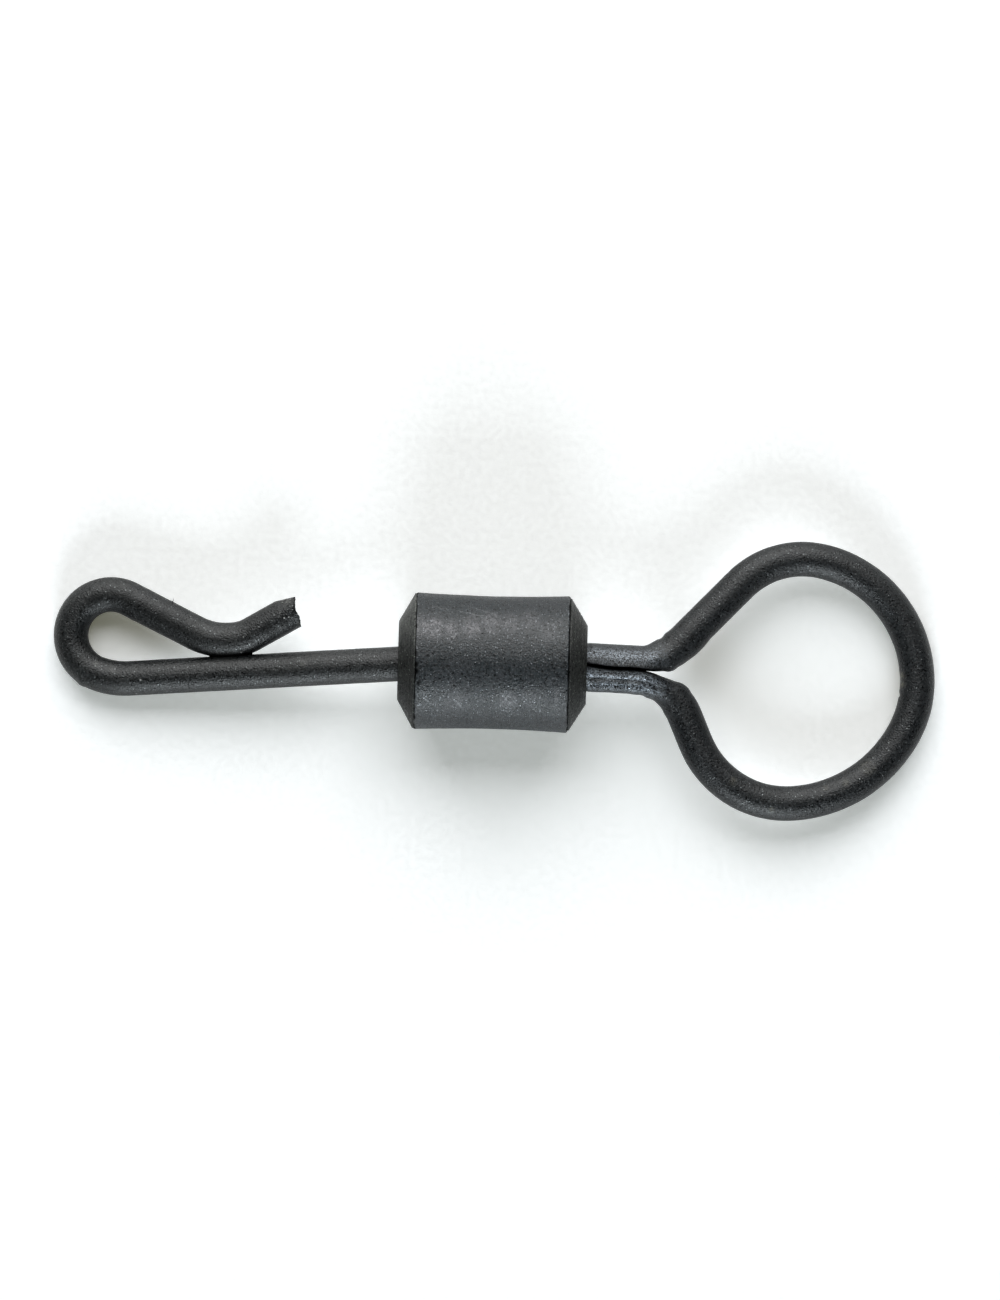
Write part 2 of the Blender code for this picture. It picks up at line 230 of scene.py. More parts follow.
def coatingMaterial(name, look):
    material = bpy.data.materials.new(name)
    material.use_nodes = True
    tree = material.node_tree
    shader = tree.nodes["Principled BSDF"]
    shader.inputs["IOR"].default_value = look["ior"]
    shader.inputs["Specular IOR Level"].default_value = look["shine"]
    spot = addNode(tree, "ShaderNodeTexCoord").outputs["Object"]

    def times(first, second):
        return addMath(tree, "MULTIPLY", first, second)

    def plus(first, second):
        return addMath(tree, "ADD", first, second)

    def minus(first, second):
        return addMath(tree, "SUBTRACT", first, second)

    def larger(first, second):
        return addMath(tree, "MAXIMUM", first, second)

    def attribute(label):
        return addNode(tree, "ShaderNodeAttribute", attribute_name=label).outputs["Fac"]

    def pattern(size, detail, rough=0.55):
        return addNode(tree, "ShaderNodeTexNoise", {
            "Vector": spot, "Scale": 1 / (size * mm), "Detail": detail, "Roughness": rough}).outputs[0]

    def cellsOf(size):
        return addNode(tree, "ShaderNodeTexVoronoi", {"Vector": spot, "Scale": 1 / (size * mm)}).outputs

    def randomOf(cells, channel):
        return addNode(tree, "ShaderNodeSeparateColor", {"Color": cells["Color"]}).outputs[channel]

    def remap(value, span, low=0.0, high=1.0):
        return addNode(tree, "ShaderNodeMapRange", {
            "Value": value, "From Min": span[0], "From Max": span[1],
            "To Min": low, "To Max": high}).outputs[0]

    def blendColour(share, first, second):
        node = addNode(tree, "ShaderNodeMix", data_type="RGBA")
        for socket, value in ((node.inputs[0], share), (node.inputs[6], first), (node.inputs[7], second)):
            if isinstance(value, bpy.types.NodeSocket):
                tree.links.new(value, socket)
            else:
                socket.default_value = value if isinstance(value, float) else (*value, 1.0)
        return node.outputs[2]

    cloud = pattern(look["cloudSize"], 4)
    mottle = pattern(look["mottleSize"], 3)
    grain = pattern(look["grainSize"], 2, 0.7)
    fine = pattern(look["grainSize"] * look["fineShare"], 1)
    speckle = pattern(look["speckleSize"], 2, 0.75)
    colour = blendColour(remap(mottle, look["mottleSpan"]), look["dark"], look["pale"])
    clouds = remap(cloud, look["cloudSpan"], 0.0, look["cloudShare"])
    colour = blendColour(clouds, colour, look["cloudColour"])
    speckled = remap(speckle, look["speckleSpan"], 1 - look["speckle"], 1 + look["speckle"])
    colour = vectorMath(tree, "SCALE", {0: colour, "Scale": speckled})

    # single grains: dull grit, and tiny glints that catch the light
    grit = cellsOf(look["gritSize"])
    grains = times(remap(grit["Distance"], look["gritSpan"], 1.0, 0.0),
                   remap(randomOf(grit, 1), (1 - look["grit"], 1.0)))
    colour = blendColour(grains, colour, look["gritColour"])
    cells = cellsOf(look["glintSize"])
    glint = times(remap(cells["Distance"], look["glintSpan"], 1.0, 0.0),
                  remap(randomOf(cells, 0), (1 - look["glints"], 1 - look["glints"] * look["glintEdge"])))
    colour = blendColour(glint, colour, look["glintColour"])
    metal = times(glint, look["glintMetal"])
    # pits between the grains, black because no light comes back out of them
    pit = times(remap(speckle, look["pitSpan"], 1.0, 0.0), look["pits"])
    colour = blendColour(pit, colour, look["blackest"])
    metal = larger(metal, pit)

    # hairline scratches, each a straight stroke seen from above: (x, y, x, y) in pixels of the photograph
    for x1, y1, x2, y2, width, strength in look.get("scratches", ()):
        start, stop = photoSpot(x1, y1), photoSpot(x2, y2)
        length = float(np.linalg.norm(stop - start))
        run = Vector((*((stop - start) / length), 0.0))
        offset = vectorMath(tree, "SUBTRACT", {0: spot, 1: Vector((*start, 0.0))})
        along = vectorMath(tree, "DOT_PRODUCT", {0: offset, 1: run}, "Value")
        across = vectorMath(tree, "DOT_PRODUCT", {0: offset, 1: Vector((-run.y, run.x, 0.0))}, "Value")
        across = plus(across, times(minus(mottle, 0.5), look["scratchSway"] * mm))
        stroke = remap(addMath(tree, "ABSOLUTE", across), (0.0, width * mm), 1.0, 0.0)
        stroke = times(stroke, remap(along, (0.0, 0.1 * length)))
        stroke = times(stroke, remap(along, (0.8 * length, length), 1.0, 0.0))
        onTop = remap(addNode(tree, "ShaderNodeSeparateXYZ", {0: spot}).outputs["Z"],
                      (barrelMiddle.z, barrelMiddle.z + 0.2 * mm))
        bare = times(times(times(stroke, onTop), remap(grain, look["scratchSpan"], 0.25)), strength)
        colour = blendColour(bare, colour, look["scratchColour"])
        metal = larger(metal, times(bare, look["scratchMetal"]))

    # faces the dies squeezed carry bright burnished grains, laid in bands where the highlights fall: partly
    # real, partly painted highlight
    polishedSheen = times(attribute("pressedSheen"), remap(plus(speckle, fine), look["pressedSheenSpan"]))
    colour = blendColour(polishedSheen, colour, look["pressedSheenColour"])
    metal = larger(metal, polishedSheen)

    # worn through to the metal where the mesh says so, and in the same mask painted sheen and painted
    # highlight
    rubbedAndSheen = times(attribute("wearAndSheen"), remap(plus(speckle, grain), look["wearAndSheenSpan"], 0.1))
    rubbedAndSheen = times(rubbedAndSheen, remap(mottle, look["wearAndSheenPatches"], 0.35))
    colour = blendColour(rubbedAndSheen, colour, look["wearAndSheenColour"])
    metal = larger(metal, times(rubbedAndSheen, look["wearAndSheenMetal"]))

    # painted shade: black and matt where the mesh asks for it, in seams, in the ring's crevice and on sides
    # turned from the light
    paintedShade = attribute("paintedShade")
    colour = blendColour(paintedShade, colour, look["blackest"])
    tree.links.new(colour, shader.inputs["Base Color"])
    tree.links.new(larger(metal, paintedShade), shader.inputs["Metallic"])

    gloss = remap(plus(mottle, cloud), look["glossSpan"], *look["roughness"])
    gloss = minus(gloss, times(glint, look["glintGloss"]))
    gloss = plus(gloss, times(minus(speckle, 0.5), look["glossGrain"]))
    gloss = plus(gloss, times(times(paintedShade, paintedShade), look["paintedShadeMatt"]))
    tree.links.new(gloss, shader.inputs["Roughness"])

    reliefs = [(mottle, look["mottleHeight"]), (grain, look["grainHeight"]), (fine, look["fineHeight"])]
    if "lineHeight" in look:
        # fine lines left by the turning tool, rings about the barrel's axis
        away = vectorMath(tree, "SUBTRACT", {0: spot, 1: barrelMiddle})
        away = vectorMath(tree, "MULTIPLY", {0: away, 1: (0.0, 1.0, 1.0)})
        away = vectorMath(tree, "LENGTH", {0: away}, "Value")
        lines = addNode(tree, "ShaderNodeTexNoise", {"W": away, "Scale": 1 / (look["lineSize"] * mm),
                        "Detail": 2.0}, noise_dimensions="1D").outputs[0]
        reliefs.append((lines, look["lineHeight"]))
    reliefs.append((cellsOf(look["facetSize"])["Distance"], look["facetHeight"]))
    bump = None
    for value, height in reliefs:
        inputs = {"Height": value, "Distance": height * mm, "Strength": 1.0}
        if bump:
            inputs["Normal"] = bump
        bump = addNode(tree, "ShaderNodeBump", inputs).outputs["Normal"]
    tree.links.new(bump, shader.inputs["Normal"])
    material.diffuse_color = (*look["dark"], 1.0)
    return material


# sizes and heights in mm; a span holds the two pattern values between which an effect sets in
commonLook = {
    "ior": 1.5, "blackest": (0.0012, 0.0014, 0.0013), "mottleSpan": (0.35, 0.65), "cloudSpan": (0.42, 0.68),
    "cloudShare": 0.5, "speckleSpan": (0.36, 0.64), "grainSize": 0.045, "fineShare": 0.45, "gritSize": 0.045,
    "gritSpan": (0.25, 0.5), "grit": 0.5, "glintSpan": (0.2, 0.36), "glintEdge": 0.6, "glintMetal": 1.0,
    "glintGloss": 0.12, "pitSpan": (0.35, 0.46), "scratchSpan": (0.42, 0.55), "scratchSway": 0.12,
    "scratchMetal": 0.6, "pressedSheenSpan": (0.95, 1.14), "pressedSheenColour": (0.45, 0.5, 0.56),
    "wearAndSheenSpan": (0.86, 1.14), "wearAndSheenPatches": (0.38, 0.58), "wearAndSheenMetal": 0.3, "glossSpan": (0.75, 1.25),
    "paintedShadeMatt": 0.45, "mottleHeight": 0.006, "fineHeight": 0.004, "facetSize": 0.055,
}
sleeveLook = dict(
    commonLook, dark=(0.0036, 0.0074, 0.01), pale=(0.0105, 0.015, 0.018),
    cloudColour=(0.0205, 0.0222, 0.0255), cloudSize=0.75, mottleSize=0.15, speckleSize=0.06, speckle=0.65,
    pits=0.4, gritSize=0.046, gritColour=(0.034, 0.039, 0.0445), glintSize=0.05, glints=0.42,
    glintColour=(0.17, 0.18, 0.19), wearAndSheenColour=(0.225, 0.22, 0.23), wearAndSheenMetal=0.7, roughness=(0.31, 0.42),
    glossGrain=0.8, shine=0.58, grainHeight=0.018, facetHeight=0.007, scratchColour=(0.26, 0.27, 0.28),
    scratches=[
        (499, 691, 515, 708, 0.02, 0.9), (503, 690, 518, 706, 0.015, 0.7), (511, 692, 497, 709, 0.018, 0.7),
        (516, 697, 503, 711, 0.014, 0.6), (420, 690, 431, 706, 0.02, 0.5), (451, 697, 466, 711, 0.018, 0.5),
        (424, 698, 440, 709, 0.015, 0.4), (536, 688, 549, 699, 0.015, 0.4), (458, 611, 488, 617, 0.016, 0.5),
        (470, 607, 500, 616, 0.014, 0.4), (430, 605, 452, 612, 0.014, 0.4)])
bushLook = dict(
    commonLook, dark=(0.0018, 0.0027, 0.002), pale=(0.0058, 0.0074, 0.0056),
    cloudColour=(0.0105, 0.0128, 0.0098), cloudSize=0.5, cloudShare=0.4, mottleSize=0.12, grainSize=0.06,
    speckleSize=0.06, speckle=0.8, pits=0.6, grit=0.45, gritColour=(0.03, 0.034, 0.028), glintSize=0.065,
    glints=0.3, glintMetal=0.6, glintColour=(0.15, 0.165, 0.145), wearAndSheenColour=(0.24, 0.25, 0.23),
    roughness=(0.4, 0.54), glossGrain=0.9, shine=0.45, grainHeight=0.026, fineHeight=0.006,
    facetHeight=0.008, lineSize=0.07, lineHeight=0.055)
hookLook = dict(
    commonLook, dark=(0.0009, 0.0018, 0.0022), pale=(0.0034, 0.0048, 0.0053),
    cloudColour=(0.0068, 0.0078, 0.0066), cloudSize=0.9, mottleSize=0.13, speckleSize=0.055, speckle=0.6,
    pits=0.42, gritColour=(0.017, 0.02, 0.0215), glintSize=0.055, glints=0.3,
    glintColour=(0.15, 0.16, 0.16), wearAndSheenColour=(0.2, 0.2, 0.185), roughness=(0.31, 0.42), glossGrain=0.8,
    shine=0.58, mottleHeight=0.003, grainHeight=0.017, facetSize=0.05, facetHeight=0.007)
ringLook = dict(
    hookLook, dark=(0.0008, 0.0018, 0.0026), pale=(0.0033, 0.005, 0.0062),
    cloudColour=(0.0064, 0.008, 0.009), glints=0.32, shine=0.54, gritColour=(0.0155, 0.019, 0.022),
    wearAndSheenColour=(0.19, 0.18, 0.14), facetHeight=0.006)
fleckLook = dict(
    hookLook, dark=(0.1, 0.105, 0.1), pale=(0.3, 0.3, 0.29), cloudShare=0.0, speckle=0.0, glints=0.001,
    roughness=(0.3, 0.45))

sleeveCoating = coatingMaterial("sleeveCoating", sleeveLook)
bushCoating = coatingMaterial("bushCoating", bushLook)
hookCoating = coatingMaterial("hookCoating", hookLook)
ringCoating = coatingMaterial("ringCoating", ringLook)
bareFleck = coatingMaterial("bareFleck", fleckLook)
print("finishes made")


# ---- the barrel: a swaged sleeve and the turned bush that closes each end

sleeveShape = {
    "length": 3.84, "rimDiameter": 3.42, "waistDepth": 0.05, "wall": 0.3, "endRound": 0.065,
    "hookEndLonger": 0.03, "lipThickness": 0.1, "lipDepth": 0.09, "sides": 256, "rows": 92,
    "rippleHeight": 0.006, "rippleSize": 0.9,
    # patches worn to the metal on the two highlight bands and the right rim: partly real, partly painted
    # sheen
    "wearAndSheen": [
        (420, 627, 0.36, 0.9), (434, 628, 0.4, 0.9), (452, 630, 0.36, 0.75), (472, 627, 0.38, 0.8),
        (492, 623, 0.38, 0.75), (510, 624, 0.36, 0.5), (530, 622, 0.4, 0.4), (547, 632, 0.4, 0.3),
        (455, 700, 0.4, 0.35), (508, 700, 0.35, 0.5), (530, 697, 0.4, 0.3), (557, 692, 0.1, 0.6),
        (556.5, 700, 0.1, 0.7), (556, 708, 0.1, 0.6), (560, 622, 0.1, 0.4)],
    "seamWidths": (0.055, 0.032), "seamBlots": [
        (415.5, 664, 0.13, 1.0), (415.5, 671, 0.16, 1.0), (416, 682, 0.19, 1.0), (415.5, 690, 0.13, 1.0),
        (416, 655, 0.1, 0.8), (566, 664, 0.1, 0.6)],
}
# the bush's edge, far-half and near-half strengths set a painted highlight on the flange's edge, painted
# sheen on the far half and painted shade on the near half
hookBushShape = {
    "bore": 0.548, "length": 1.05, "standout": 0.44, "noseRadius": 0.98, "baseRadius": 1.688, "coneDeg": 61.0,
    "edge": 0.012, "seatGap": 0.01, "toolLines": 9, "toolDepth": 0.007, "coneSteps": 96, "noseMark": 0.0015,
    "sides": 224, "seed": 3.0, "rubbedAndSheen": 0.7, "paintedSheen": 0.4, "paintedShade": 0.3,
}
ringBushShape = dict(
    hookBushShape, bore=0.73, baseRadius=1.648, coneDeg=58.5, seed=8.0, rubbedAndSheen=0.25, paintedSheen=0.0, paintedShade=0.0)


def turnRound(profile, sides):
    # a closed outline of (x, radius) in mm, turned once about X
    points = []
    faces = []
    count = len(profile)
    for side in range(sides):
        angle = 2 * math.pi * side / sides
        for x, radius in profile:
            points.append((x * mm, radius * mm * math.cos(angle), radius * mm * math.sin(angle)))
        here = side * count
        there = (side + 1) % sides * count
        for i in range(count):
            j = (i + 1) % count
            faces.append((here + i, there + i, there + j, here + j))
    return np.array(points), faces


def makeSleeve(shape):
    half = shape["length"] / 2
    rim = shape["rimDiameter"] / 2
    bore = rim - shape["wall"]
    bend = shape["endRound"]
    straight = half - bend
    lip = half - shape["lipThickness"]
    lipInside = bore - shape["lipDepth"]
    nib = shape["lipThickness"] / 4
    end = [(straight + bend * math.sin(angle), rim - bend * (1 - math.cos(angle)))
           for angle in np.linspace(0.0, math.pi / 2, 11)[1:]]
    end += [(half, lipInside + nib), (half - nib, lipInside), (lip + nib, lipInside), (lip, lipInside + nib),
            (lip, bore)]
    waist = [(x, rim - shape["waistDepth"] * (1 - (x / straight) ** 2))
             for x in np.linspace(-straight, straight, shape["rows"])]
    inside = [(x, bore) for x in np.linspace(lip, -lip, 12)]
    profile = waist + end + inside[1:-1] + [(-x, radius) for x, radius in reversed(end)]
    points, faces = turnRound(profile, shape["sides"])
    ripple = noiseAt(points, shape["rippleSize"] * mm, 1.0) * shape["rippleHeight"] * mm
    radius = np.linalg.norm(points[:, 1:], axis=1)
    outside = smoothStep(bore * 1.06 * mm, rim * 0.97 * mm, radius)
    points[:, 1:] *= (1 + ripple * outside / radius)[:, None]
    points[:, 0] *= np.where(points[:, 0] < 0, 1 + shape["hookEndLonger"] / half, 1.0)
    points += np.array(barrelMiddle)
    obj = meshObject("sleeveShell", points, faces, sleeveCoating)
    onTop = smoothStep(0.0, 0.3 * mm, points[:, 2] - barrelMiddle.z)
    setAttribute(obj.data, "wearAndSheen", spotWeight(points, shape["wearAndSheen"]) * onTop)
    # painted shade along the seam between sleeve and bush, widened into dark blots here and there
    hookSide = points[:, 0] < barrelMiddle.x
    reach = np.where(hookSide, half + shape["hookEndLonger"], half) * mm
    fromSeam = reach - np.abs(points[:, 0] - barrelMiddle.x)
    blots = spotWeight(points, shape["seamBlots"]) * onTop * (noiseAt(points, 0.1 * mm, 6.0) > -0.12)
    ragged = np.where(hookSide, *shape["seamWidths"]) * mm * (1 + noiseAt(points, 0.22 * mm, 7.0))
    setAttribute(obj.data, "paintedShade", np.maximum(1 - smoothStep(0.5 * ragged, ragged, fromSeam), blots))
    return obj


def makeBush(name, shape, mirrored):
    edge, nose, base, back, length, seed = (
        shape[key] for key in ("edge", "noseRadius", "baseRadius", "standout", "length", "seed"))
    slope = math.radians(shape["coneDeg"])
    cone = (base - nose) / math.tan(slope)
    seat = sleeveShape["rimDiameter"] / 2 - sleeveShape["wall"] - shape["seatGap"]
    groove = seat - sleeveShape["lipDepth"]
    grooveEnd = back + sleeveShape["lipThickness"] + shape["seatGap"]
    mouth = shape["bore"] + edge
    profile = [(0.0, mouth)]
    for share in np.linspace(0.0, 1.0, 14)[1:]:  # fine turning marks on the nose
        mark = shape["noseMark"] * abs(math.sin(9 * share + seed)) * (share < 0.97)
        profile.append((mark, mouth + (nose - mouth) * share))
    for share in np.linspace(0.0, 1.0, shape["coneSteps"] + 1)[1:]:
        line = noise.noise(Vector((share * shape["toolLines"] * 1.6, seed, 0.5)))
        line += 0.5 * noise.noise(Vector((share * shape["toolLines"] * 4.1, seed, 2.5)))
        depth = shape["toolDepth"] * line * min(1.0, 12 * share, 12 * (1 - share))
        profile.append((cone * share - math.sin(slope) * depth,
                        nose + (base - nose) * share + math.cos(slope) * depth))
    profile += [
        (back - edge, base), (back - edge * 0.3, base - edge * 0.3), (back, base - edge), (back, groove),
        (grooveEnd, groove), (grooveEnd, seat), (length - edge, seat), (length, seat - edge), (length, mouth),
        (length - edge, shape["bore"]), (edge, shape["bore"])]
    points, faces = turnRound(profile, shape["sides"])
    points[:, 0] -= (sleeveShape["length"] / 2 + back) * mm
    if mirrored:
        points[:, :2] *= -1  # half a turn about Z, so the faces still look outward
    radius = np.linalg.norm(points[:, 1:], axis=1)
    points += np.array(barrelMiddle)
    obj = meshObject(name, points, faces, bushCoating)
    # painted highlight on the flange's edge on the lit side, painted sheen on the far half and painted shade
    # on the near one
    far, up = (points - np.array(barrelMiddle))[:, 1:].T
    onEdge = smoothStep((base - 0.035) * mm, (base - 0.015) * mm, radius)
    onEdge *= smoothStep(0.1 * mm, 0.4 * mm, up) * smoothStep(0.2 * mm, 0.6 * mm, far)
    rubbedAndSheen = np.clip(0.4 + 1.2 * noiseAt(points, 0.5 * mm, seed), 0.0, 1.0) * shape["rubbedAndSheen"]
    paintedSheen = smoothStep(0.3 * mm, 1.1 * mm, far) * smoothStep(-0.5 * mm, 0.5 * mm, up) * shape["paintedSheen"]
    setAttribute(obj.data, "wearAndSheen", np.maximum(onEdge * rubbedAndSheen, paintedSheen))
    setAttribute(obj.data, "paintedShade", smoothStep(-0.1 * mm, -0.7 * mm, far) * shape["paintedShade"])
    return obj


sleeve = makeSleeve(sleeveShape)
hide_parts("barrel_sleeve")
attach(sleeve, "barrel")
hookBush = makeBush("hookEndBush", hookBushShape, False)
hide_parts("hook_end_bush")
ringBush = makeBush("ringEndBush", ringBushShape, True)
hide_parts("ring_end_bush")
for bush in (hookBush, ringBush):
    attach(bush, "barrel")
print("barrel made")


# ---- wire: a bend table gives the path, and a node tree runs the wire along it

def makeWireTree():
    tree, taken, given = newTree("wireAlongPath", [
        ("Wire Radius", "NodeSocketFloat"), ("Sides", "NodeSocketInt"), ("Lump Height", "NodeSocketFloat"),
        ("Lump Size", "NodeSocketFloat"), ("Seed", "NodeSocketFloat"), ("Coating", "NodeSocketMaterial")])
    curve = addNode(tree, "GeometryNodeMeshToCurve", {"Mesh": taken.outputs["Geometry"]}).outputs["Curve"]
    girth = namedValue(tree, "girth")
    curve = addNode(tree, "GeometryNodeSetCurveRadius", {"Curve": curve, "Radius": girth}).outputs["Curve"]
    circle = addNode(tree, "GeometryNodeCurvePrimitiveCircle", {
        "Resolution": taken.outputs["Sides"], "Radius": taken.outputs["Wire Radius"]}).outputs["Curve"]
    sweep = addNode(tree, "GeometryNodeCurveToMesh", {
        "Curve": curve, "Profile Curve": circle, "Fill Caps": True})
    if "Scale" in sweep.inputs:
        tree.links.new(girth, sweep.inputs["Scale"])
    lumps = addNode(tree, "ShaderNodeTexNoise", {
        "Scale": addMath(tree, "DIVIDE", 1.0, taken.outputs["Lump Size"]), "Detail": 2.0,
        "W": taken.outputs["Seed"]}, noise_dimensions="4D").outputs[0]
    height = addMath(tree, "MULTIPLY", addMath(tree, "SUBTRACT", lumps, 0.5), taken.outputs["Lump Height"])
    normal = addNode(tree, "GeometryNodeInputNormal").outputs["Normal"]
    moved = addNode(tree, "GeometryNodeSetPosition", {
        "Geometry": sweep.outputs["Mesh"],
        "Offset": vectorMath(tree, "SCALE", {0: normal, "Scale": height})}).outputs["Geometry"]
    smooth = addNode(tree, "GeometryNodeSetShadeSmooth", {"Geometry": moved}).outputs[0]
    return endTree(tree, smooth, taken.outputs["Coating"], given)


wireTree = makeWireTree()


class BendTable:
    # straights and arcs in one plane, kept as closely set stations of (x, y, heading) in mm
    def __init__(self, x, y, heading, step):
        self.x, self.y, self.heading, self.step = x, y, heading, step
        self.stations = [(x, y, heading)]

    def straight(self, length, step=None):
        count = max(1, math.ceil(length / (step or self.step)))
        x, y = self.x, self.y
        for i in range(1, count + 1):
            self.x = x + length * i / count * math.cos(self.heading)
            self.y = y + length * i / count * math.sin(self.heading)
            self.stations.append((self.x, self.y, self.heading))

    def arc(self, radius, turn, step=None):
        side = math.copysign(radius, turn)
        cx = self.x - side * math.sin(self.heading)
        cy = self.y + side * math.cos(self.heading)
        count = max(2, math.ceil(abs(turn) * radius / (step or self.step)))
        start = self.heading
        for i in range(1, count + 1):
            self.heading = start + turn * i / count
            self.x = cx + side * math.sin(self.heading)
            self.y = cy - side * math.cos(self.heading)
            self.stations.append((self.x, self.y, self.heading))


def jointPlace(name):
    # the joint's axis is the shank's own line, and the wire lies in a plane that is level across it
    joint = spinJoints[name]
    along = Vector(joint["axis"]).normalized()
    across = Vector((0.0, 0.0, 1.0)).cross(along).normalized()
    up = along.cross(across)
    place = Matrix((along, across, up)).transposed().to_4x4()
    place.translation = Vector(joint["pos_m"])
    return place


def makeWire(name, rows, shape, coating):
    # rows are (x, y, heading, girth); the wire stays in its own plane until it is put in place
    mesh = bpy.data.meshes.new(name)
    spots = [(x * mm, y * mm, 0.0) for x, y, _, _ in rows]
    mesh.from_pydata(spots, [(i, i + 1) for i in range(len(rows) - 1)], [])
    setAttribute(mesh, "girth", [row[3] for row in rows])
    obj = linkObject(name, mesh)
    lumps = shape["lumps"]
    useTree(obj, wireTree, {
        "Wire Radius": shape["wireDiameter"] / 2 * mm, "Sides": shape["sides"], "Coating": coating,
        "Lump Height": lumps["height"] * mm, "Lump Size": lumps["size"] * mm, "Seed": lumps["seed"]})
    return obj


# ---- the quick-change hook

hookShape = {
    "wireDiameter": 0.872, "pivotDepth": 0.42, "shankLength": 6.82, "bendRadii": (2.03, 1.022),
    "bendEaseDeg": 23.3, "returnDeg": 30.1, "bellyRadii": (1.7, 1.19), "bellyRun": 0.075,
    "bellyGap": -0.047, "flareDeg": 25.7, "flareLength": 1.285, "shearDeg": 14.0, "lean": 0.2,
    "sag": 0.0125, "sharpDeg": 40.0, "headRadius": 0.88, "headThickness": 0.34, "headBack": 1.14,
    "headRound": 0.035, "step": 0.055, "sides": 64, "lumps": {"height": 0.012, "size": 0.6, "seed": 2.0},
    "tear": {"pull": 0.3, "crush": 0.14, "crushFrom": 0.38, "crushRun": 0.5, "notch": (0.06, 0.03),
             "grains": ((0.09, 4.0, 0.03), (0.035, 9.0, 0.016)), "wearAndSheen": 0.02, "paintedShade": 0.75,
             "insets": ((0.02, -0.004), (0.05, -0.03), (0.06, -0.02), (0.08, -0.01), (0.09, 0.012),
                        (0.06, 0.0))},
    "bumps": [
        (131.8, 617, 0.12, 0.014), (80.8, 683, 0.14, 0.03), (303, 663, 0.08, 0.012), (68, 620, 0.16, -0.01),
        (72, 623, 0.1, 0.008), (172.7, 600, 0.06, 0.02)],
    "bridge": {"from": 204.5, "to": 248.6, "level": 655.2, "overlap": 0.045, "height": 0.1},
    "burr": {"at": (172.4, 602.5), "length": 0.13, "girth": 0.011},
    "shade": [
        (110, 596, 0.5, 0.2), (127, 603, 0.5, 0.3), (143, 610, 0.5, 0.33), (159, 618, 0.5, 0.33),
        (175, 626, 0.5, 0.3), (191, 634, 0.45, 0.25), (96, 602, 0.35, 0.4), (111, 603, 0.35, 0.4),
        (93, 682, 0.35, 0.3), (106, 686, 0.35, 0.25), (272, 633, 0.35, 0.35), (287, 625, 0.35, 0.35)],
    "wearAndSheen": [
        (296, 600, 0.1, 0.8), (95, 664, 0.1, 0.4), (112, 669, 0.14, 0.35), (303, 663, 0.14, 0.5),
        (287, 600, 0.2, 0.35), (299.5, 624, 0.1, 0.5)],
}


def hookRows(shape):
    ease = math.radians(shape["bendEaseDeg"])
    fall = math.radians(shape["returnDeg"])
    flare = math.radians(shape["flareDeg"])
    first, main = shape["bendRadii"]
    rise = first * (1 - math.cos(ease)) + main * (math.cos(ease) + math.cos(fall))
    drop = rise - shape["wireDiameter"] - shape["bellyGap"] - shape["bellyRadii"][0] * (1 - math.cos(fall))
    table = BendTable(0.0, 0.0, math.pi, shape["step"])
    table.straight(shape["pivotDepth"] + shape["shankLength"], 0.08)
    table.arc(first, -ease)
    table.arc(main, -(math.pi + fall - ease))
    table.straight(drop / math.sin(fall))
    table.arc(shape["bellyRadii"][0], fall)
    table.straight(shape["bellyRun"])
    table.arc(shape["bellyRadii"][1], flare)
    table.straight(shape["flareLength"], 0.03)
    # the upset head comes first, as rows with a wider girth
    back, bend = shape["headBack"], shape["headRound"]
    wide = shape["headRadius"] / (shape["wireDiameter"] / 2)
    face = back - shape["headThickness"]
    head = [(back, 0.82), (back - bend, 0.95), (back - 2 * bend, 1.0), (face + bend, 1.0), (face, 0.95)]
    rows = [(x, 0.0, math.pi, wide * share) for x, share in head] + [(face - 0.002, 0.0, math.pi, 1.0)]
    return rows + [(x, y, heading, 1.0) for x, y, heading in table.stations]


def tearTip(mesh, rows, shape):
    # the tip was sheared off askew, its upper corner is crushed flat and the cut face is torn
    look = shape["tear"]
    x, y, heading, _ = rows[-1]
    tip = np.array([x, y, 0.0]) * mm
    ahead = np.array([math.cos(heading), math.sin(heading), 0.0])
    left = np.array([-math.sin(heading), math.cos(heading), 0.0])
    radius = shape["wireDiameter"] / 2 * mm
    slant = math.tan(math.radians(shape["shearDeg"]))
    points = pointsOf(mesh)
    back, side = (points - tip) @ ahead, (points - tip) @ left
    near = (np.abs(side) < 1.3 * radius) & (back > -1.1 * mm) & (back < 0.3 * mm)
    pull = smoothStep(-look["pull"] * mm, 0.0, back) * near
    points += ahead * (pull * (side * slant + points[:, 2] * shape["lean"]))[:, None]
    back = (points - tip) @ ahead
    crush = np.clip((back / mm + look["crushFrom"]) / look["crushRun"], 0.0, 1.0)
    crush *= near * smoothStep(0.1 * radius, radius, side)
    points -= left * (crush * look["crush"] * mm)[:, None]
    putPoints(mesh, points)
    # rings of small faces are set into the cut, and then pushed in and out
    with editing(mesh) as work:
        end = min((face for face in work.faces if len(face.verts) > 8),
                  key=lambda face: (face.calc_center_median() - Vector(tip)).length)
        for share, depth in look["insets"]:
            bmesh.ops.inset_region(work, faces=[end], thickness=share * mm, depth=0.0, use_even_offset=False)
            for vert in end.verts:
                vert.co += Vector(ahead) * (depth * mm)
        bmesh.ops.poke(work, faces=[end])
    points = pointsOf(mesh)
    back, side = (points - tip) @ ahead, (points - tip) @ left
    cut = side * slant + points[:, 2] * shape["lean"]
    face = smoothStep(-0.09 * mm, 0.02 * mm, back - cut) * (np.abs(side) < 1.3 * radius) * (back < 0.3 * mm)
    rough = sum(noiseAt(points, size * mm, seed) * height for size, seed, height in look["grains"])
    notch = look["notch"][0] * np.exp(-((side / radius + 0.05) / 0.3) ** 2)
    notch += look["notch"][1] * smoothStep(0.6 * radius, 0.9 * radius, side)
    points += ahead * (face * (rough - notch) * mm)[:, None]
    putPoints(mesh, points)
    return face


